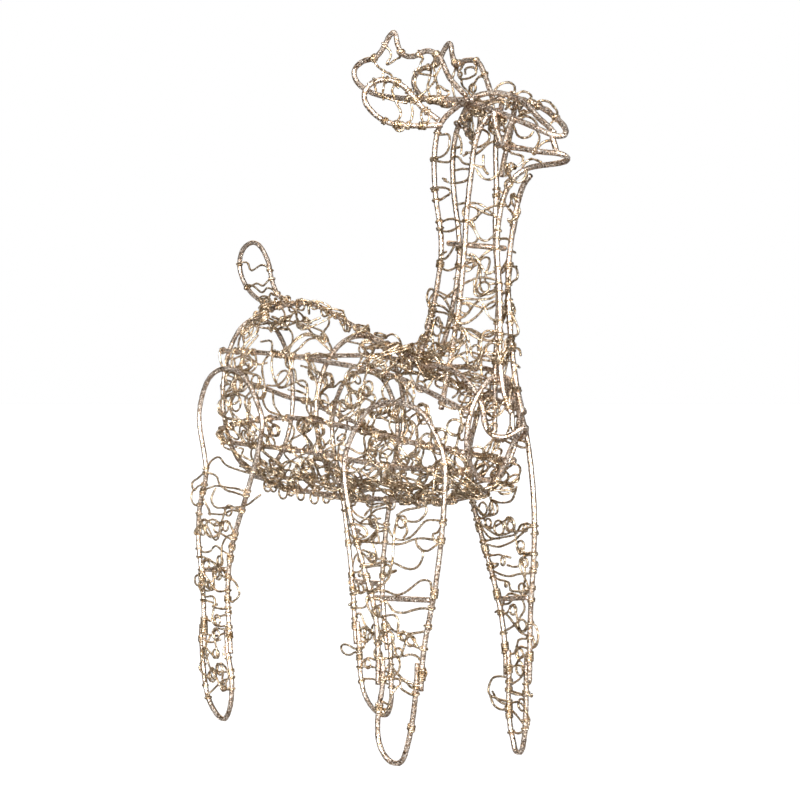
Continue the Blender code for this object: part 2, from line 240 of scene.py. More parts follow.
def coated(node, line=None, closed=False):
    """A frame wire with its coat of glitter, drawn along the middle of the CAD wire that it replaces."""
    line = evened(bent(line or middle_line(node, closed), closed), 1.5 * MM, 2, closed)
    wire = draw_wire(
        node + "_coated", [line], FRAME_WIRE + COAT, frame_glitter,
        sides=3, lump=0.035, closed=closed,
    )
    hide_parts(node)
    return line


LEGS = ("front_right_leg", "front_left_leg", "rear_right_leg", "rear_left_leg")
arch_line = {leg: coated(leg + "_arch") for leg in LEGS}
foot_line = {leg: coated(leg + "_foot") for leg in LEGS}
for leg in LEGS:
    coated(leg + "_knee_bar")


# Thin wire on the legs. One soft wire is wound round a limb, thrown across to the other limb in
# a wave or a coil, and wound on again. Here and there a loop stands out past the leg.
THIN_WIRE = 1.45 * MM
WIND_REACH = (FRAME_WIRE + THIN_WIRE) / 2 - 0.15 * MM
WIND_PITCH = 1.25 * MM
# Points to a turn round a rod, and to a full loop in the open
WIND_STEPS = 9
LOOP_STEPS = 10
# Above this a limb is the arch's wire, below it the hoof's
LAP_HEIGHT = 54 * MM
X, Z = 0, 2

thin_glitter = glitter_coat(
    "champagne_glitter_on_thin_wire",
    dark=(0.055, 0.026, 0.006, 1), middle=(0.34, 0.215, 0.1, 1), pale=(1.0, 0.86, 0.68, 1), flake=0.5 * MM,
)


def strand(points):
    """Thin wire bent through the points."""
    return evened(bent(points), 0.9 * MM, 1)


def curly_wire(name, lines):
    """One piece of thin wire along all the lines."""
    return draw_wire(name, lines, THIN_WIRE, thin_glitter, sides=1, lump=0.1)


def spot(line, axis, value):
    """Where a wire first reaches this place along the axis, and the way it runs there."""
    for a, b in zip(line, line[1:]):
        if (a[axis] - value) * (b[axis] - value) <= 0 and a[axis] != b[axis]:
            return a.lerp(b, (value - a[axis]) / (b[axis] - a[axis])), (b - a).normalized()
    end = min((0, len(line) - 2), key=lambda i: abs(line[i][axis] - value))
    return line[end].copy(), (line[end + 1] - line[end]).normalized()


def wound(tie, out, turns):
    """Turns of thin wire round a thick one, starting and ending on its outer side."""
    at, runs = tie
    out = (out - out.project(runs)).normalized()
    side = runs.cross(out)
    return [
        at + runs * WIND_PITCH * (i / WIND_STEPS - turns / 2)
        + (out * math.cos(turn) + side * math.sin(turn)) * WIND_REACH
        for i, turn in enumerate(math.tau * k / WIND_STEPS for k in range(WIND_STEPS * turns + 1))
    ]


def curled(stops, radii, out):
    """The stops of a thin wire, with a full loop round each stop that has a radius."""
    path = []
    for before, here, after, radius in zip(stops[:1] + stops, stops, stops[1:] + stops[-1:], radii):
        ahead = (after - before).normalized()
        across = out.cross(ahead).normalized() * radius
        path += [
            here - across * math.cos(turn) + ahead * abs(radius) * math.sin(turn)
            + out * THIN_WIRE * 0.6 * (turn / math.pi - 1)
            for turn in (math.tau * k / LOOP_STEPS for k in range(LOOP_STEPS + 1 if radius else 1))
        ]
    return path


def strung(rails, axis, stops, facing, bulge=0.0):
    """Thin wire through stops: which rail or share of the way to the next, place along it, loop radius.

    It is wound once round a rail where it starts or ends on one, and sways a little in and out.
    """
    rng = random.Random(str(stops))
    places, radii, ties = [], [], []
    for rail, at, *loop in stops:
        first = min(max(int(rail), 0), len(rails) - 2)
        a, b = [spot(line, axis, at * MM) for line in rails[first:first + 2]]
        share = rail - first
        place = a[0].lerp(b[0], share)
        bow = 4 * bulge * max(share * (1 - share), 0)
        places.append(place + facing(place) * (bow + rng.uniform(-0.9, 0.9)) * MM)
        radii.append(loop[0] * MM if loop else 0)
        ties.append(a if share == 0 else b if share == 1 else None)
    out = facing(places[0])
    if radii[0] or radii[-1]:
        return strand(curled(places, radii, out))
    start = wound(ties[0], out, 1) if ties[0] else places[:1]
    end = wound(ties[-1], facing(places[-1]), 1) if ties[-1] else places[-1:]
    return strand(start + curled(places[1:-1], radii[1:-1], out) + end)


def laced(seed, rod_a, rod_b, axis, start, end, count, sway, loop, chance, bulge, facing):
    """One thin wire led to and fro between two rods in waves, some of them with a full loop.

    The crossings are spread from start to end along the axis. Sway and bulge say how far a wave
    goes sideways and outwards, loop gives the range of the loops' radius and chance their share.
    """
    rng = random.Random(seed)
    step = (end - start) / count
    path, here = [], None
    for k in range(count + 1):
        rod = rod_b if k % 2 else rod_a
        at = start + step * (k + rng.uniform(-1.3, 1.3))
        tie = spot(rod, axis, at * MM)
        turns = wound(tie, facing(tie[0]), rng.choice((1, 1, 1, 2)))
        if here:
            run = turns[0] - here
            face = facing((here + turns[0]) / 2)
            across = face.cross(run).normalized()
            wave_length = rng.uniform(11, 18) * MM
            waves = max(1, min(3, round(run.length / wave_length)))
            turn = rng.choice((1, -1))
            stops, radii = [here], [0]
            for j in range(1, waves + 1):
                share = (j + rng.uniform(-0.2, 0.2)) / (waves + 1)
                turn = -turn
                stops.append(
                    here + run * share + across * turn * rng.uniform(0.5, 1.2) * sway * MM
                    + face * (bulge * math.sin(math.pi * share) + rng.uniform(-1.5, 1.5)) * MM
                )
                radii.append(-turn * rng.uniform(*loop) * MM if rng.random() < chance else 0)
            path += curled(stops + [turns[0]], radii + [0], face)[1:-1]
        path += turns
        here = turns[-1]
    return strand(path)


def leg_rail(leg, which):
    """One limb of a leg from the hoof up, changing from the hoof's wire to the arch's where they lap."""
    hoof, arch = foot_line[leg], arch_line[leg]
    sole = min(range(len(hoof)), key=lambda i: hoof[i].z)
    crown = max(range(len(arch)), key=lambda i: arch[i].z)
    low, high = (hoof[sole::-1], arch[:crown]) if which == "rear" else (hoof[sole:], arch[:crown:-1])
    return [p for p in low if p.z < LAP_HEIGHT] + [p for p in high if p.z > LAP_HEIGHT]


# Each line is one run of thin wire, read off the photo. Its stops are (share of the way from
# the rear limb to the front one, height, loop radius) in millimetres
LEG_STRANDS = {
    "front_right_leg": (
        ((0, 153), (0.1, 149), (0.2, 147), (0.33, 148)),
        ((0.15, 149), (0.22, 153), (0.35, 156), (0.45, 159)),
        ((0, 143), (0.12, 141), (0.14, 138), (0, 136)),
        ((0, 133), (0.2, 135), (0.3, 139), (0.3, 145), (0.2, 147)),
        ((0.52, 151), (0.58, 147), (0.61, 141), (0.57, 137)),
        ((0.4, 133), (0.5, 133), (0.7, 137), (1, 138)),
        ((0.42, 141), (0.46, 137.5), (0.53, 136), (0.61, 136.5), (0.71, 140.5), (0.76, 144), (0.82, 148),
         (1, 149)),
        ((0.58, 148), (0.68, 147), (0.77, 149), (0.82, 155), (0.75, 160)),
        ((1, 147), (0.92, 141, 4.2), (1, 136)),
        ((0.7, 137), (0.75, 132.5), (0.86, 130.5), (0.95, 134), (1, 138)),
        ((0.3, 114), (0.42, 117, 2.3), (0.3, 113)),
        ((0, 118), (0.15, 120), (0.33, 122), (0.45, 121), (0.55, 119), (0.67, 119), (0.77, 123), (0.8, 129),
         (0.74, 133)),
        ((0.05, 128), (0.12, 127), (0.2, 125), (0.1, 123.5)),
        ((0, 103), (0.2, 104), (0.42, 102.5), (0.55, 104.5), (0.67, 109), (0.78, 112.5), (0.92, 112),
         (1, 108)),
        ((0, 99), (0.25, 97), (0.35, 92.5), (0.5, 92), (0.65, 94), (1, 97)),
        ((0, 89), (0.2, 86), (0.33, 81.5), (0.55, 80), (0.72, 80.5), (1, 86)),
        ((0.56, 66), (0.68, 67.5), (0.85, 66.5), (0.97, 62), (1.07, 57), (1.05, 53), (0.95, 50)),
        ((0, 63), (0.2, 63.5), (0.42, 64.5), (0.45, 58), (0.3, 53), (0, 52)),
        ((0.25, 61), (0.45, 56), (0.65, 52.5), (1, 50)),
        ((0, 50), (0.35, 52), (0.6, 51), (1, 49)),
        ((0.5, 52), (0.5, 47), (0.7, 45), (1, 45)),
        ((0.45, 48), (0.35, 42), (0.3, 35), (0, 31)),
        ((0, 37), (0.3, 34), (0.1, 30, 2)),
        ((0.57, 192), (0.66, 185.5), (0.75, 189), (0.8, 196.5), (0.89, 200), (0.96, 198), (1, 193)),
        ((0, 176), (0.08, 175), (0.18, 177), (0.26, 182)),
        ((0.15, 178), (0.24, 172.5), (0.36, 168.5), (0.58, 166)),
    ),
    "front_left_leg": (
        ((0, 153), (0.15, 150, 4), (0.33, 151, 4.2), (0.33, 158)),
        ((0, 143), (0.22, 146), (0.33, 151), (0.33, 158)),
        ((0.33, 156), (0.5, 155), (0.68, 158), (0.75, 166)),
        ((0, 139), (0.37, 139, 4.6), (0.57, 142, 4.5), (0.8, 139)),
        ((0, 140), (0.1, 135), (0.22, 132), (0.35, 132)),
        ((0, 129), (0.3, 132), (0.5, 134), (0.7, 137), (0.84, 141, 2.5), (1, 138)),
        ((0, 126), (0.25, 126.5), (0.43, 128.5), (0.6, 132), (0.75, 137), (1, 143)),
        ((0, 120), (0.15, 121), (0.35, 118.5, 3), (0.5, 121)),
        ((0, 115), (0.18, 116, 2.4), (0, 113)),
        ((0.4, 116), (0.55, 115.5), (0.72, 118.5), (0.77, 124), (0.74, 126, 2)),
        ((0, 112), (0.25, 110), (0.45, 109.5), (0.7, 112), (1, 115)),
        ((1, 126), (1.03, 121, 4.2), (1, 117)),
        ((0.8, 121), (0.82, 112), (0.78, 104), (0.75, 97)),
        ((0, 107), (0.2, 106), (0.32, 104, 1.8), (0.45, 101), (0.62, 101), (1, 105)),
        ((0, 94), (0.15, 91.5), (0.35, 92.5), (0.5, 96)),
        ((0.75, 97), (0.77, 91), (0.65, 85.5), (0.45, 80), (0, 73)),
        ((-0.2, 85), (0, 87), (0.2, 85), (0.45, 80.5), (0.7, 76), (1, 74)),
        ((0, 61), (0.38, 62), (0.5, 66.5), (0.65, 71.5), (1, 73.5)),
        ((0, 53), (0.3, 53.5), (0.55, 58.5), (1, 64)),
        ((1, 60), (0.86, 53, 6.4), (1, 45)),
        ((0, 43), (0.15, 38), (0.55, 37), (1, 39.5)),
        ((1, 40), (1.3, 38), (1.35, 40)),
        ((0, 44), (-0.6, 45), (-1.05, 40), (-1.1, 34), (-0.6, 31), (0, 31)),
        ((-1, 34), (-0.5, 29.5), (0, 28)),
        ((-1.1, 31), (-1.1, 26), (-0.8, 24), (-0.4, 24.5), (0, 27)),
        ((0, 27), (0.35, 31.5), (0.8, 32.5), (1.15, 28), (1, 22)),
        ((0, 25), (0.45, 24.5), (0.8, 21), (1, 17)),
    ),
    "rear_right_leg": (
        ((0, 172), (0.2, 179), (0.32, 180.5), (0.45, 176), (0.65, 173), (1, 172)),
        ((0, 169), (0.2, 167), (0.33, 162), (0.5, 158), (0.67, 157), (1, 156)),
        ((0, 169), (-0.2, 165), (-0.32, 160), (-0.25, 157), (0, 161)),
        ((-0.25, 158), (-0.22, 151), (-0.1, 146), (0, 147)),
        ((0, 155), (0.08, 149), (0.22, 143), (0.3, 140)),
        ((0, 157), (0.25, 160.5), (0.45, 160), (1, 159)),
        ((0.25, 159), (0.27, 151), (0.4, 146.5), (0.6, 146), (0.85, 147), (1.12, 150), (1.25, 154),
         (1.3, 157)),
        ((0, 140), (0.4, 131, 6.2), (0.5, 132, 3.6), (1, 126)),
        ((0.25, 141), (0.5, 141), (1, 145)),
        ((0, 116), (0.1, 114.5), (0.4, 115.5), (0.5, 119), (0.75, 116.5), (1, 113)),
        ((0, 110), (0.3, 109), (0.55, 106)),
        ((0, 101), (0.28, 93), (0.5, 89), (1, 90)),
        ((1, 97), (1.4, 94), (1.47, 89), (1.27, 83), (1, 83)),
        ((0, 97), (-0.3, 94), (0, 91)),
        ((0, 80), (0.48, 78, 4.2), (1, 78)),
        ((0, 68), (0.35, 67), (0.6, 70.5), (1, 75)),
        ((0, 57), (0.45, 57), (0.8, 60), (1.1, 61.5)),
        ((1, 58), (0.98, 52, 5.8), (1, 44)),
        ((0.2, 56), (0.2, 47), (0.2, 38), (0.4, 33), (0.65, 33), (1, 35.5)),
        ((0.7, 34), (0.65, 26), (1, 23.5)),
        ((0, 13), (0.25, 19), (0.5, 24), (1, 31)),
        ((0, 52), (0.4, 52), (0.6, 55)),
    ),
    "rear_left_leg": (
        ((0, 141), (0.3, 133), (0.5, 132.5), (0.7, 134), (1, 134)),
        ((0.5, 149), (0.62, 147), (0.8, 148), (1, 150)),
        ((0.4, 134), (0.6, 138), (0.75, 143), (1, 148)),
        ((0.1, 130), (0.3, 127, 2.4), (0.45, 124)),
        ((0, 126), (0.25, 121), (0.5, 121.5), (0.7, 125.5), (0.8, 131.5), (0.65, 135)),
        ((0, 117), (0.5, 120), (1, 121.5)),
        ((0.55, 111), (0.65, 112.5), (0.75, 110), (1, 110)),
        ((0, 97), (0.3, 97, 1.8), (0.5, 102), (1, 107)),
        ((0, 96), (-0.05, 89, 4.6), (0, 82)),
        ((0, 82), (0.25, 84), (0.45, 88), (0.45, 92)),
        ((0, 76), (-0.12, 74, 1.9), (0, 73)),
        ((0, 65), (0.28, 69), (0.35, 62), (0.5, 59)),
        ((0, 72), (0.4, 75), (0.5, 79), (1, 82)),
        ((0, 48.5), (0.3, 51), (0.45, 55), (1, 57)),
        ((0, 43.5), (-0.12, 43.5), (-0.3, 45.5), (-0.5, 45), (-0.6, 42), (-0.48, 39), (-0.25, 39),
         (-0.1, 41.5), (0, 41)),
        ((0, 31), (0.45, 33), (1, 30)),
        ((1, 37), (0.85, 32, 2.4), (1, 27)),
        ((0, 22), (0.5, 25), (1, 22)),
    ),
}
# Tight windings: limb (0 rear, 1 front), height, turns
LEG_WRAPS = {
    "front_right_leg": (
        (1, 57, 6), (1, 105, 3), (1, 24, 3), (0, 33, 4), (0, 112, 3), (1, 138, 2), (0, 132, 3),
    ),
    "front_left_leg": (
        (0, 64, 5), (1, 62, 5), (0, 51, 4), (0, 97, 4), (0, 124, 4), (1, 97, 2), (0, 137, 3), (0, 22, 3),
    ),
    "rear_right_leg": (
        (0, 64, 6), (0, 53, 3), (0, 97, 4), (1, 120, 3), (1, 60, 3), (1, 84, 3), (1, 112, 4), (0, 60, 4),
    ),
    "rear_left_leg": (
        (0, 118, 4), (0, 60, 4), (0, 86, 3), (1, 30, 4), (1, 98, 3), (0, 38, 3), (1, 62, 4),
    ),
}
# How often one more wire goes across below the belly, where single runs can't be told apart
LEG_CROSSINGS = {"front_right_leg": 3, "front_left_leg": 6, "rear_right_leg": 9, "rear_left_leg": 6}
for leg, strands in LEG_STRANDS.items():
    limbs = (leg_rail(leg, "rear"), leg_rail(leg, "front"))
    out = Vector((0, -1 if "right" in leg else 1, 0))
    lines = [strung(limbs, Z, stops, lambda p: out if i % 3 else -out) for i, stops in enumerate(strands)]
    lines.append(laced(
        leg, *limbs, Z, 20, 145, LEG_CROSSINGS[leg], sway=4, loop=(2.6, 4), chance=0.9, bulge=0,
        facing=lambda p: out,
    ))
    for limb, height, turns in LEG_WRAPS[leg]:
        lines.append(strand(wound(spot(limbs[limb], Z, height * MM), out, turns)))
    thin = curly_wire(leg + "_curly_wire", lines)
    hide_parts(leg + "_scroll")


# Body frame. Three oval hoops make the barrel. A spine wire, a belly wire that turns up into
# the chest and five side wires are welded along their outside, and the tail is one loop of wire.
for hoop in ("rump_hoop", "middle_hoop", "chest_hoop"):
    coated(hoop, closed=True)
long_wires = ("spine_wire", "belly_wire", "upper_side_wire_right", "middle_side_wire_right",
              "lower_side_wire_right", "upper_side_wire_left", "middle_side_wire_left")
rod = {name: coated(name) for name in long_wires}
tail = coated("tail_loop")


# Thin wire on the body. It runs in coils from rod to rod round the barrel: open and wavy on the
# flanks, tight along the belly, and a dense tangle at the rump, the chest and the foot of the neck.
BARREL_HEIGHT = 216 * MM


def outward(point):
    """Away from the line through the middle of the barrel."""
    return Vector((0, point.y, point.z - BARREL_HEIGHT)).normalized()


def facing_side(point):
    """Towards the right side, wherever the point is."""
    return Vector((0, -1, 0))


def tangled(seed, line, spread, count, loop):
    """One long thin wire pushed loosely into the room round a line, in waves and loops.

    It has count stops within the spread of the line, and every other one on average has a loop.
    """
    rng = random.Random(seed)
    line = evened(line, 4 * MM, 0)
    stops, radii = [], []
    for k in range(count):
        centre = line[min(int(len(line) * (k + rng.random()) / count), len(line) - 1)]
        stops.append(centre + Vector([rng.uniform(-s, s) * MM for s in spread]))
        radii.append(rng.choice((1, -1)) * rng.uniform(*loop) * MM if rng.random() < 0.5 else 0)
    out = Vector((rng.gauss(0, 0.5), -1, rng.gauss(0, 0.5))).normalized()
    return evened(bent(curled(stops, radii, out)), 0.95 * MM, 1)


# Stops as (rod, or share of the way to the next, place along the body, loop radius). The rods count from
# the spine over the upper, middle and lower side wires to the belly
FLANK_STRANDS = (
    ((1, -60), (0.8, -62), (0.62, -59), (0.55, -50), (0.55, -42), (0.57, -36, 1.6)),
    ((1, -52), (0.8, -54), (0.66, -50), (0.6, -42)),
    ((1, -55), (1.2, -52), (1.4, -52)),
    ((0, -88), (0.2, -83), (0.38, -72), (0.49, -63), (0.45, -59), (0.32, -56), (0.2, -52), (0, -47)),
    ((1.05, -36), (1.2, -31), (1.33, -24), (1.5, -21), (1.67, -22), (1.72, -27)),
    ((1.55, -50), (1.56, -39), (1.65, -29), (1.72, -27)),
    ((1.65, -18), (1.65, -12, 5), (1.68, -6)),
    ((1.55, -77), (1.68, -80), (1.85, -72), (1.95, -58), (2, -48)),
    ((1.5, -75), (1.48, -62), (1.38, -55), (1.2, -52), (1.05, -52)),
    ((1.58, -68), (1.78, -64), (1.95, -56), (2.1, -52)),
    ((1.68, -130), (1.68, -125, 3), (1.7, -120)),
    ((1, -112), (1.1, -100), (1.18, -88), (1.15, -80)),
    ((1.25, -122), (1.2, -108), (1.18, -92)),
    ((2.1, -47), (2.35, -42), (2.7, -48), (3, -50)),
    ((2.1, -22), (2.3, -16), (2.55, -17), (2.75, -23), (2.95, -22)),
    ((0.1, -103), (0.13, -100), (0.34, -84), (0.18, -86), (0.3, -78), (0.47, -69), (0.48, -63), (0.3, -62),
     (0.18, -57)),
    ((0.53, -93), (0.46, -88), (0.52, -78), (0.66, -67), (0.83, -62), (1, -61)),
    ((0.55, -100), (0.58, -95, 2), (0.6, -90)),
    ((0.8, -98), (0.79, -86), (0.92, -80), (1, -75)),
    ((1, -66), (0.82, -65), (0.63, -62), (0.56, -55), (0.53, -46), (0.53, -40)),
    ((1, -36), (0.85, -35), (0.84, -24), (0.9, -11)),
    ((0, -56), (0.2, -47), (0.45, -42), (0.6, -37)),
    ((1.05, -60), (1.17, -57.5), (1.22, -48), (1.38, -44), (1.5, -31)),
    ((1.14, -42), (1.17, -30), (1.24, -18), (1.34, -13), (1.48, -13)),
    ((1.11, -121), (1.06, -113), (1.11, -105), (1.19, -96), (1.27, -107)),
    ((1.5, -134), (1.6, -128, 4), (1.75, -124)),
    ((1.75, -137), (1.88, -129), (1.93, -113)),
    ((2.1, -76), (2.37, -70, 4.2), (2.2, -60)),
    ((3.5, -74), (3.55, -67, 3.8), (3.6, -60)),
    ((3.7, -94), (3.72, -87, 4.5), (3.7, -80)),
    ((3.3, -88), (3.3, -81, 3.6), (3.35, -74)),
    ((3.1, -126), (3.2, -120, 4.6), (3.4, -114)),
    ((3.3, -33), (3.3, -26, 4), (3.4, -19)),
    ((3.25, -58), (3.35, -52, 3.8), (3.5, -46)),
    ((3.75, -56), (3.8, -50, 3.6), (3.7, -44)),
)
# Loops that hang from the belly wire: place along the body, radius
FRINGE = (
    (-124, 3.9), (-117, 3), (-106, 4.2), (-97, 2.6), (-86, 3.4), (-71, 3.8), (-58, 3), (-30, 2.8), (8, 3.2),
)

for side in ("right", "left"):
    near = side == "right"
    upper = rod["upper_side_wire_" + side]
    middle = rod["middle_side_wire_" + side]
    lower = rod["lower_side_wire_right"] if near else middle
    spine, belly = rod["spine_wire"], rod["belly_wire"]
    # Two rods, start and end along the body, crossings, sway, loop radii, share of loops, bulge
    bands = {
        "back": (
            (spine, upper, -134, -90, 3 if near else 2, 5, (3, 4.8), 0.7, 7),
            (spine, upper, -18, 38, 4, 6, (3, 5.5), 0.7, 5),
        ),
        "flank": (
            (upper, middle, -134, -72, 5 if near else 3, 7, (3.5, 6), 0.7, 3),
            (middle, upper, -66, 36, 4 if near else 2, 7, (3.5, 6), 0.6, 1),
            (middle, upper, 36, 98, 5 if near else 3, 6, (3.5, 5.5), 0.6, 1),
            (middle, lower, -132, -60, 7, 5.5, (2.6, 4.8), 0.8, 2),
            (lower, middle, -20, 100, 9, 5.5, (2.6, 4.8), 0.6, 0),
        ),
        "underside": (
            (lower, belly, -130, 66, 15 if near else 16, 5.5, (2.8, 4.8), 0.8, 2),
            (belly, lower, 60, 112, 6, 5, (2.8, 4.8), 0.8, 4),
        ),
    }
    for name, rows in bands.items():
        lines = [laced(name + side + str(i), rod_a, rod_b, X, *row, outward)
                 for i, (rod_a, rod_b, *row) in enumerate(rows) if rod_a is not rod_b]
        if name == "flank" and near:
            rods = (spine, upper, middle, lower, belly)
            lines += [strung(rods, X, stops, outward, 2) for stops in FLANK_STRANDS]
            for at, radius in FRINGE:
                places = [at - radius, at, at + radius]
                before, here, after = [spot(belly, X, place * MM)[0] for place in places]
                stops = [before, here - Vector((0, 0, radius * MM)), after]
                lines.append(strand(curled(stops, (0, -radius * MM, 0), facing_side(here))))
        thin = curly_wire(name + "_curly_wire_" + side, lines)
        if name == "back":
            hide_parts("flank_scroll_rear_" + side)
        if name == "flank":
            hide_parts("flank_scroll_front_" + side)


def mm(*places):
    """Points given in millimetres."""
    return [Vector(p) * MM for p in places]


# Each tangle's seed, the line it keeps to, its spread, stops and loop radii
belly_line = mm((-128, 0, 172), (-60, 0, 169), (20, 0, 169), (70, 0, 172))
belly_tangle = [
    tangled("belly", belly_line, (5, 24, 8), 32, (3, 4.8)),
    tangled("belly low", mm((-126, 0, 167), (-20, 0, 162), (60, 0, 163)), (5, 16, 4), 12, (2.8, 4.4)),
    tangled("chest", mm((66, 0, 176), (100, 0, 184), (112, 0, 206)), (6, 18, 10), 12, (3, 4.6)),
]
curly_wire("belly_tangle", belly_tangle)
neck_foot_line = mm((44, 0, 250), (64, 0, 232), (90, 0, 222), (100, 0, 218))
shoulder_tangle = [
    tangled("withers", mm((-4, 0, 252), (24, 0, 244), (44, 0, 236)), (8, 20, 9), 28, (3, 4.8)),
    tangled("barrel", mm((-20, -12, 216), (20, -12, 204), (60, -6, 204)), (8, 14, 16), 18, (3, 5)),
    tangled("neck foot", neck_foot_line, (8, 15, 11), 19, (3, 5)),
]
curly_wire("shoulder_tangle", shoulder_tangle)
back_line = [p for p in rod["spine_wire"] if -100 < p.x / MM < -8]
rump_tangle = [
    tangled("back", back_line, (3, 4, 4), 17, (2.8, 4.4)),
    tangled("rump", mm((-134, 0, 272), (-118, 0, 274), (-100, 0, 276)), (6, 14, 6), 9, (2.8, 4.2)),
    tangled("croup", mm((-136, 0, 262), (-136, -24, 240), (-136, -26, 214)), (4, 6, 10), 8, (3, 5)),
]
curly_wire("rump_tangle", rump_tangle)


# Thin wire on the tail, of the same soft wire as on the body: a few waves across the foot of the
# loop, wound round it at every turn, and a short hook near its tip.
turn = min(range(len(tail)), key=lambda i: tail[i].x)
tail_low, tail_high = tail[:turn], tail[turn:]
tail_lines = [
    laced("tail", tail_low, tail_high, Z, 291, 303, 4, 2.5, (2, 3), 0.3, 0, facing_side),
    laced("tail tip", tail_low, tail_high, Z, 312, 319, 1, 2.5, (2, 3), 0, 0, facing_side),
]
thin = curly_wire("tail_curly_wire", tail_lines)
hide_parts("tail_scroll")


# Neck and head frame. Six wires rise from the shoulders through one ring; the rear pair goes on
# over the crown and meets at the nose, and the front right wire turns forward into the lower jaw.
nape = coated("nape_and_nose_wire")
throat = coated("jaw_and_throat_wire")
neck_right = coated("neck_side_wire_right")
neck_left = coated("neck_side_wire_left")
throat_left = coated("throat_wire_left")
coated("neck_ring", closed=True)
coated("collar", closed=True)
coated("nose_ridge_wire")
coated("cheek_wire_right")
coated("cheek_wire_left")
strut = middle_line("jaw_strut")
reach = (strut[-1] - strut[0]).normalized() * (FRAME_WIRE / 2 + 0.6 * MM)
coated("jaw_strut", [strut[0] - reach, *strut[1:-1], strut[-1] + reach])


# Thin wire on the neck: arcs and waves from wire to wire round the column, looser higher up, with
# a few loops that stand out in front and behind.
NECK_X = 86 * MM
# The jaw's wire turns down into the throat behind this place
THROAT_FRONT = 124 * MM


def neck_outward(point):
    """Away from the line through the middle of the neck."""
    return Vector((point.x - NECK_X, point.y, 0)).normalized()


nose = max(range(len(nape)), key=lambda i: nape[i].x)
nape_right, nape_left = nape[:nose:-1], nape[:nose]
if sum(p.y for p in nape_right[:20]) > 0:
    nape_right, nape_left = nape_left, nape_right
jaw_tip = max(range(len(throat)), key=lambda i: throat[i].x)
jaw_upper, jaw_lower = sorted((throat[:jaw_tip], throat[jaw_tip:]), key=len)
throat_right = [p for p in jaw_lower if p.x < THROAT_FRONT]
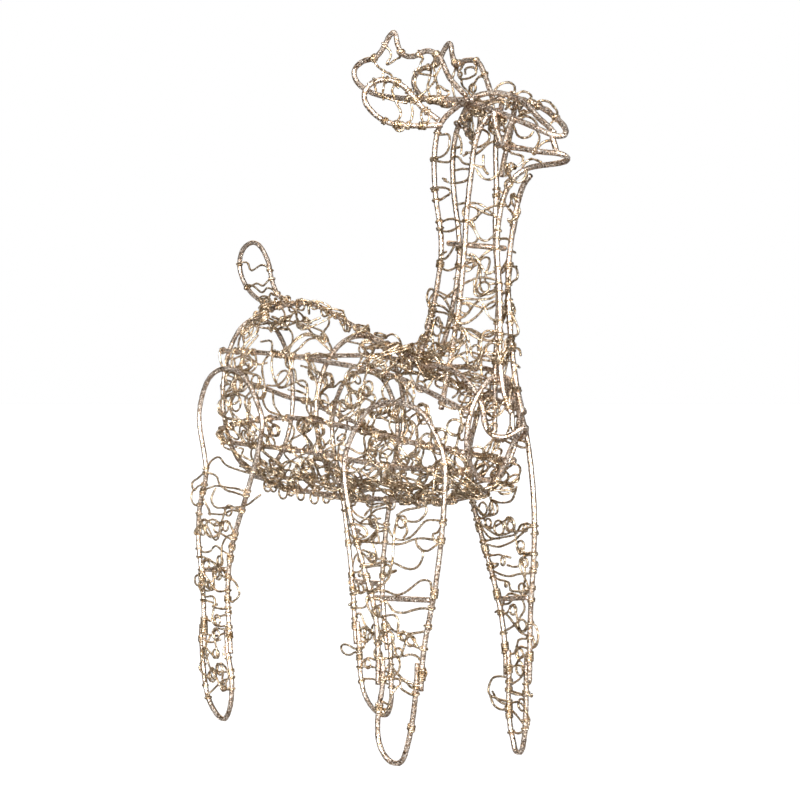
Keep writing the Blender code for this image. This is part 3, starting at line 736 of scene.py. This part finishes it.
# Stops as (wire, or share of the way to the next, height, loop radius). The wires of the near side count
# from the nape over the neck's side to the two at the throat
NECK_STRANDS = (
    ((0, 279), (-0.22, 284, 4.6), (0.15, 284), (0.5, 279), (0.75, 274), (1, 269.5)),
    ((0.42, 281), (0.7, 285), (1.1, 290), (1.5, 292.5), (1.8, 291), (2, 288.5)),
    ((1, 280), (1.25, 280), (1.5, 279.5), (1.75, 280), (1.9, 282), (2, 284)),
    ((1.35, 292), (1.36, 287), (1.36, 283.5), (1.45, 281.5), (1.6, 282), (1.85, 283.5), (2, 284)),
    ((1.5, 279), (1.4, 277), (1.28, 273), (1.18, 270), (1, 268)),
    ((1.5, 279), (1.62, 275), (1.7, 271), (1.8, 267.5), (2, 266)),
    ((1, 266.5), (1.2, 265.5), (1.35, 268), (1.5, 271.5), (1.6, 275), (1.75, 277.5), (2, 277)),
    ((0, 276), (0.25, 277.5), (0.55, 275), (0.75, 272), (0.9, 269), (1, 266)),
    ((0, 274), (0.3, 273.5), (0.6, 272), (0.75, 269), (0.85, 266)),
    ((0, 272), (0.08, 268.5), (0.3, 265), (0.5, 264), (0.9, 263), (1, 263)),
    ((1, 266), (1.05, 262), (1.2, 261.5), (1.35, 259), (1.5, 256.5), (1.7, 255), (2, 254.5)),
    ((1.05, 265), (1.2, 260), (1.27, 257), (1.18, 253.5), (1.12, 250)),
    ((1.6, 254.5), (1.65, 257.5), (1.8, 259.5), (2, 259.5)),
    ((3, 301), (3.5, 301), (4, 298), (4, 294), (3.6, 291), (3, 289)),
    ((3, 279), (3.4, 279), (3.8, 274), (3.5, 269), (3, 266)),
    ((1.12, 246), (1.3, 248.5), (1.45, 248), (1.6, 246), (2, 246.5)),
    ((1.55, 256), (1.55, 250), (1.62, 245), (1.62, 239), (1.65, 234)),
    ((1.6, 244), (1.8, 243), (2, 243.5)),
    ((1.1, 237.5), (1.3, 241), (1.55, 244), (1.6, 246, 1.6)),
    ((1.5, 243), (1.45, 238), (1.35, 236), (1.15, 234.5)),
    ((1.1, 231), (1.2, 229), (1.22, 225), (1.15, 221)),
    ((1.45, 226), (1.3, 223), (1.25, 220), (1.35, 218.5), (1.5, 218)),
    ((1.3, 235.5), (1.5, 235.5), (1.65, 234), (1.8, 231), (1.95, 229)),
    ((1.6, 231), (1.7, 227), (1.8, 225)),
    ((3.3, 251), (3.8, 249.5), (3.6, 246.5)),
    ((3.2, 241), (3.4, 239)),
    ((0, 259), (-0.3, 255, 4.2), (0, 250)),
    ((0, 303), (0.1, 308, 4.2), (0.3, 310)),
    ((0, 304), (0.25, 306), (0.5, 309), (0.65, 312)),
    ((0, 302), (0.2, 299), (0.55, 298.5), (0.9, 301)),
    ((0.85, 310), (1, 304), (1.15, 302.5), (1.4, 303), (1.55, 306), (1.75, 308.5), (2, 308.5)),
    ((1.2, 307), (1.35, 305), (1.42, 302), (1.25, 299), (1.05, 300)),
    ((1.45, 303), (1.55, 298), (1.7, 294.5), (1.85, 295.5), (2, 298)),
    ((0.7, 337), (0.9, 337.5), (1.1, 337), (1.3, 336), (1.55, 333), (1.75, 329), (1.9, 327.5)),
    ((2, 335), (1.75, 334), (1.5, 331.5), (1.3, 328), (1.15, 326.5), (0.9, 326.5), (0.6, 329), (0.4, 329.5),
     (0, 329.5)),
    ((1, 326.5), (1.2, 325), (1.3, 320), (1.45, 315.5), (1.6, 314), (1.8, 316), (2, 320)),
    ((0, 325), (0.2, 322.5), (0.5, 322.5), (0.8, 325)),
    ((0, 349), (0.4, 348), (0.5, 346), (0.3, 343.5), (0, 343)),
    ((0.6, 358), (0.8, 358), (0.95, 356), (0.9, 352), (0.7, 350.5), (0.5, 351)),
    ((0.25, 355), (0.3, 354, 1.5), (0.4, 352)),
    ((2.5, 327), (2.6, 325, 1.6), (2.7, 323)),
    ((1.06, 359), (1.15, 354), (1.28, 351), (1.42, 350), (1.53, 354), (1.6, 366)),
    ((0, 368), (0.17, 368.5), (0.32, 371.5), (0.37, 375.5), (0.27, 380.5), (0.04, 382.5), (0, 384)),
    ((0, 367.5), (0.23, 365), (0.42, 364.5), (0.53, 366.5), (0.64, 365.5), (0.73, 362), (0.9, 360),
     (1.05, 359), (1.2, 358), (1.27, 356)),
    ((0.78, 365.5), (0.85, 367, 1.5), (0.97, 366.5)),
    ((0.42, 381), (0.57, 378), (0.66, 372), (0.7, 367)),
    ((0.5, 371), (0.72, 371.5)),
    ((2.4, 333), (3.1, 330, 4.2), (2.6, 325)),
    ((2, 315), (2.8, 314.5), (3, 310), (3.5, 308)),
    ((2.8, 299), (3.7, 300)),
)
near_wires = (nape_right, neck_right, throat_right, throat_left)
neck_lines = [strung(near_wires, Z, stops, neck_outward, 1) for stops in NECK_STRANDS]
# Two wires, lowest and highest place, crossings, bulge
bands = (
    (nape_right, neck_right, 234, 264, 5, 2), (neck_right, throat_right, 216, 250, 5, 2),
    (nape_right, nape_left, 240, 290, 3, 3), (throat_right, throat_left, 216, 262, 5, 3),
    (neck_left, throat_left, 230, 340, 8, 2), (nape_left, neck_left, 236, 336, 7, 2),
)
neck_lines += [
    laced("neck" + str(i), wire_a, wire_b, Z, start, end, count, 6.5, (3.4, 5.4), 0.25, bulge, neck_outward)
    for i, (wire_a, wire_b, start, end, count, bulge) in enumerate(bands)
]
thin = curly_wire("neck_curly_wire", neck_lines)
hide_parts("neck_scroll_upper_right", "neck_scroll_upper_left", "neck_scroll_lower_right",
            "neck_scroll_lower_left")


# Thin wire on the head: arcs and small curls over the near side of the nose and jaw, and a tangle on
# the crown that is pushed in between the ears and hides the antlers' welds.
# Stops between the right half of the nose wire and the upper wire of the jaw, placed along the head
FACE_STRANDS = (
    ((-0.05, 97), (-0.19, 99.5), (-0.26, 104), (-0.22, 107.5), (-0.08, 110)),
    ((0, 109.5), (-0.1, 111), (-0.16, 113), (-0.18, 116.5), (-0.12, 120.5), (0, 123)),
    ((0, 124), (-0.13, 128.5), (-0.18, 133), (-0.17, 137.5), (-0.14, 141.5), (-0.08, 143.5), (0, 144.5)),
    ((0.5, 116), (0.64, 120), (0.73, 123.5), (0.76, 128), (0.71, 131.5), (0.55, 134)),
    ((0.5, 136), (0.64, 139), (0.8, 140.5), (0.92, 140)),
    ((1, 141), (0.88, 142), (0.79, 142.5), (0.68, 145), (0.6, 147.5), (0.5, 150)),
    ((1, 119), (1.05, 121), (1.12, 125), (1.15, 130.5), (1.19, 135.5)),
    ((1.43, 134.5), (1.3, 136), (1.19, 135.5)),
    ((1.45, 138.5), (1.3, 137.5), (1.22, 140), (1.24, 143.5), (1.32, 147.5)),
    ((0.93, 122), (0.93, 124.5, 1.5), (0.96, 127)),
    ((0.5, 117.5), (0.36, 120), (0.3, 122.5), (0.3, 125.5), (0.32, 129), (0.4, 133), (0.5, 136)),
    ((0.35, 141), (0.2, 142.5), (0.1, 143), (0.06, 146)),
    ((0, 129), (-0.04, 133), (-0.03, 138), (0.02, 142)),
    ((1.5, 129), (1.6, 131), (1.77, 135), (1.83, 139.5), (1.7, 141.5), (1.5, 141)),
)
# Curls on the near cheek: how far along and how high
CHEEK_CURLS = (
    ((95, 380), (99, 380.5), (103, 379), (106.5, 376), (106.5, 373.5), (102, 371), (97, 370), (93, 371.5),
     (90, 374)),
    ((101.5, 365), (101.5, 360), (102.5, 355.5), (105.5, 353)),
    ((113, 371.5), (107.5, 371.5), (99, 367.5), (95, 366), (90, 364.5)),
)
face = [strung((nape_right, jaw_upper), X, stops, facing_side) for stops in FACE_STRANDS]
cheek = [strand(mm(*((x, -10, z) for x, z in curl))) for curl in CHEEK_CURLS]
curly_wire("face_curly_wire", face + cheek)

crown_line = mm((68, 3, 390), (84, 4, 396), (104, 5, 397), (126, 3, 389))
crown_tangle = [
    tangled("crown", crown_line, (5, 5, 4), 24, (2.2, 3.8)),
    tangled("cheek", mm((102, -4, 386), (112, -6, 380), (114, -6, 368)), (6, 4, 5), 15, (2.2, 3.6)),
    tangled("jaw", mm((114, -6, 364), (120, -5, 350)), (4, 4, 5), 7, (2, 3)),
]
curly_wire("crown_tangle", crown_tangle)


# Ears and antlers. Each is one wire bent to its outline and welded to the crown by its two ends,
# with a little thin wire strung across it in wide arcs.
# Stops as (share of the way from the lower run to the upper one, place along the body, loop radius)
EAR_STRANDS = (
    ((1, 42.8), (0.8, 43.2), (0.62, 43.5)),
    ((1, 47), (0.8, 46), (0.64, 45.7), (0.5, 46)),
    ((1, 51), (0.89, 49.5), (0.79, 48.9), (0.68, 49.3), (0.52, 50.5), (0.43, 51.2), (0.31, 51.9),
     (0.2, 51.6), (0, 50.4)),
    ((1, 54.5), (0.75, 55.5), (0.4, 55.9), (0.2, 55.5), (0, 54.3)),
    ((0.62, 44), (0.56, 49), (0.62, 54)),
    ((0, 49.6), (-0.1, 50), (-0.15, 51.2), (-0.12, 52.6), (0, 54)),
    ((1, 60), (0.7, 58.9), (0.3, 59.3), (0, 60)),
    ((1, 61), (0.7, 61.8), (0.3, 61.2), (0, 60.4)),
)
ANTLER_STRANDS = {
    "right": (
        ((1, 17.5), (0.77, 18.4), (0.6, 21.9), (0.5, 24.5), (0.36, 29.6), (0.27, 33, 1.4), (0.2, 36)),
        ((1, 25), (0.8, 28), (0.69, 28.7), (0.6, 26), (0.55, 29.5), (0.61, 33.3), (0.78, 35.5), (1, 37.5)),
        ((0.56, 24), (0.45, 23.3), (0.3, 23)),
        ((1, 52), (0.93, 53.3), (0.87, 54), (0.82, 51.8), (0.73, 51), (0.64, 49)),
        ((0.64, 47.5), (0.5, 47.2), (0.3, 47.7), (0, 49)),
        ((0.64, 49.5), (0.66, 54), (0.66, 59.5)),
        ((0.58, 51), (0.52, 56), (0.5, 62)),
        ((1, 64.5), (0.84, 62.5), (0.73, 61.4), (0.55, 63.4), (0.4, 62.5), (0.26, 59), (0.15, 55.5),
         (0, 53)),
        ((0, 65.7), (0.2, 65), (0.28, 64.6), (0.32, 66.6), (0.29, 70), (0.27, 73.5), (0.08, 70.5), (0, 69)),
    ),
    "left": (
        ((1, 51), (0.8, 54.5, 2.4), (0.62, 56)),
        ((1, 49.5), (0.75, 50.2), (0.55, 49), (0.3, 49.5), (0, 50)),
        ((1, 56), (0.75, 55.5), (0.6, 57.5), (0.57, 62), (0.62, 69), (0.74, 73.5), (0.81, 72.3), (0.84, 68),
         (0.79, 63), (0.7, 60.5)),
        ((1, 73), (0.88, 72.6), (0.8, 73)),
        ((0.6, 57.5), (0.47, 59), (0.37, 62), (0.29, 65.5), (0, 70)),
        ((0.3, 65), (0.36, 70, 2.8), (0.5, 72.7), (0.65, 76), (1, 81.5)),
        ((1, 20), (0.7, 22), (0.4, 20), (0, 22)),
        ((1, 32), (0.6, 30), (0.3, 34), (0, 36)),
    ),
}
# Tight windings on the near ear and both antlers: run (0 lower, 1 upper), place along the body, turns
LOOP_WRAPS = {
    "ear_right": ((0, 46.3, 2), (0, 51, 4), (0, 54.4, 2), (1, 50.5, 2), (1, 57, 3), (0, 59, 3)),
    "antler_right": ((0, 44, 2), (0, 51, 3), (0, 61, 4), (0, 67, 5), (1, 16.5, 2), (1, 38, 2), (1, 65, 3)),
    "antler_left": ((1, 28, 3), (0, 40, 4)),
}


def split_outline(line):
    """An outline's two runs, the lower one first."""
    far = max(range(3, len(line) - 3), key=lambda i: (line[i] - line[0]).length)
    return sorted((line[:far], line[far:]), key=lambda run: sum(p.z for p in run) / len(run))


def reaching(node, length):
    """The middle line of a CAD wire, carried on a little at both ends into the wires it is welded to."""
    line = middle_line(node)
    ends = [p + (p - beside).normalized() * length for p, beside in (line[:2], line[:-3:-1])]
    return [ends[0], *line[1:-1], ends[1]]


for side in ("right", "left"):
    outer = 1 if side == "left" else -1
    ear = coated("ear_loop_" + side, reaching("ear_loop_" + side, 1.3 * MM))
    antler = coated("antler_" + side, reaching("antler_" + side, 1.8 * MM))
    loops = (
        ("ear_" + side, ear, EAR_STRANDS, Vector((0.83, 0.56 * outer, 0))),
        ("antler_" + side, antler, ANTLER_STRANDS[side], Vector((0.15, outer, 0))),
    )
    for name, line, strands, face in loops:
        runs = split_outline(line)
        lines = [strung(runs, X, stops, lambda p: face) for stops in strands]
        for run, at, turns in LOOP_WRAPS.get(name, ()):
            lines.append(strand(wound(spot(runs[run], X, at * MM), face, turns)))
        thin = curly_wire(name + "_curly_wire", lines)
        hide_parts(name.replace("_", "_scroll_"))


# Floor, light and camera. The pale floor and the air glow for the camera alone, so that the wire is
# lit by two broad lamps low on either side of the camera and weaker ones overhead and behind.
def camera_only(tree, value_socket, seen, unseen):
    """Sets a value that differs between what the camera sees and what lights the wire."""
    ray = tree.nodes.new("ShaderNodeLightPath")
    level = tree.nodes.new("ShaderNodeMapRange")
    level.inputs["To Min"].default_value = unseen
    level.inputs["To Max"].default_value = seen
    tree.links.new(ray.outputs["Is Camera Ray"], level.inputs["Value"])
    tree.links.new(level.outputs["Result"], value_socket)


ground = bmesh.new()
bmesh.ops.create_circle(ground, cap_ends=True, segments=96, radius=60)
floor_mesh = bpy.data.meshes.new("studio_floor")
ground.to_mesh(floor_mesh)
ground.free()
floor = bpy.data.objects.new("studio_floor", floor_mesh)
scene.collection.objects.link(floor)
paper = bpy.data.materials.new("pale_studio_paper")
paper.use_nodes = True
paper_shader = paper.node_tree.nodes["Principled BSDF"]
paper_shader.inputs["Base Color"].default_value = (0.2, 0.2, 0.2, 1)
paper_shader.inputs["Roughness"].default_value = 0.9
paper_shader.inputs["Emission Color"].default_value = (1, 1, 1, 1)
camera_only(paper.node_tree, paper_shader.inputs["Emission Strength"], 0.88, 0.0)
floor_mesh.materials.append(paper)

world = bpy.data.worlds.new("studio_air")
world.use_nodes = True
scene.world = world
air = world.node_tree.nodes["Background"]
air.inputs["Color"].default_value = (1, 1, 1, 1)
camera_only(world.node_tree, air.inputs["Strength"], 1.0, 0.04)


def soft_sun(name, azimuth, elevation, spread, strength):
    """A broad even light. Azimuth counts from the nose round to the animal's left."""
    lamp = bpy.data.lights.new(name, "SUN")
    lamp.energy = strength
    lamp.angle = math.radians(spread)
    sun = bpy.data.objects.new(name, lamp)
    a, e = math.radians(azimuth), math.radians(elevation)
    toward = Vector((math.cos(a) * math.cos(e), math.sin(a) * math.cos(e), math.sin(e)))
    sun.rotation_euler = toward.to_track_quat("Z", "Y").to_euler()
    scene.collection.objects.link(sun)


soft_sun("key_light", -62, 12, 26, 5.9)
soft_sun("fill_light", -14, 10, 28, 3.8)
soft_sun("top_light", -41, 72, 40, 0.8)
soft_sun("back_light", 142, 24, 40, 1.2)
scene.view_settings.view_transform = "Standard"

lens = bpy.data.cameras.new("photo_view")
lens.sensor_width = 36
lens.lens = 66.15
camera = bpy.data.objects.new("photo_view", lens)
camera.location = (0.7151, -0.6289, 0.2198)
camera.rotation_euler = (math.radians(90), 0, math.radians(48))
scene.collection.objects.link(camera)
scene.camera = camera
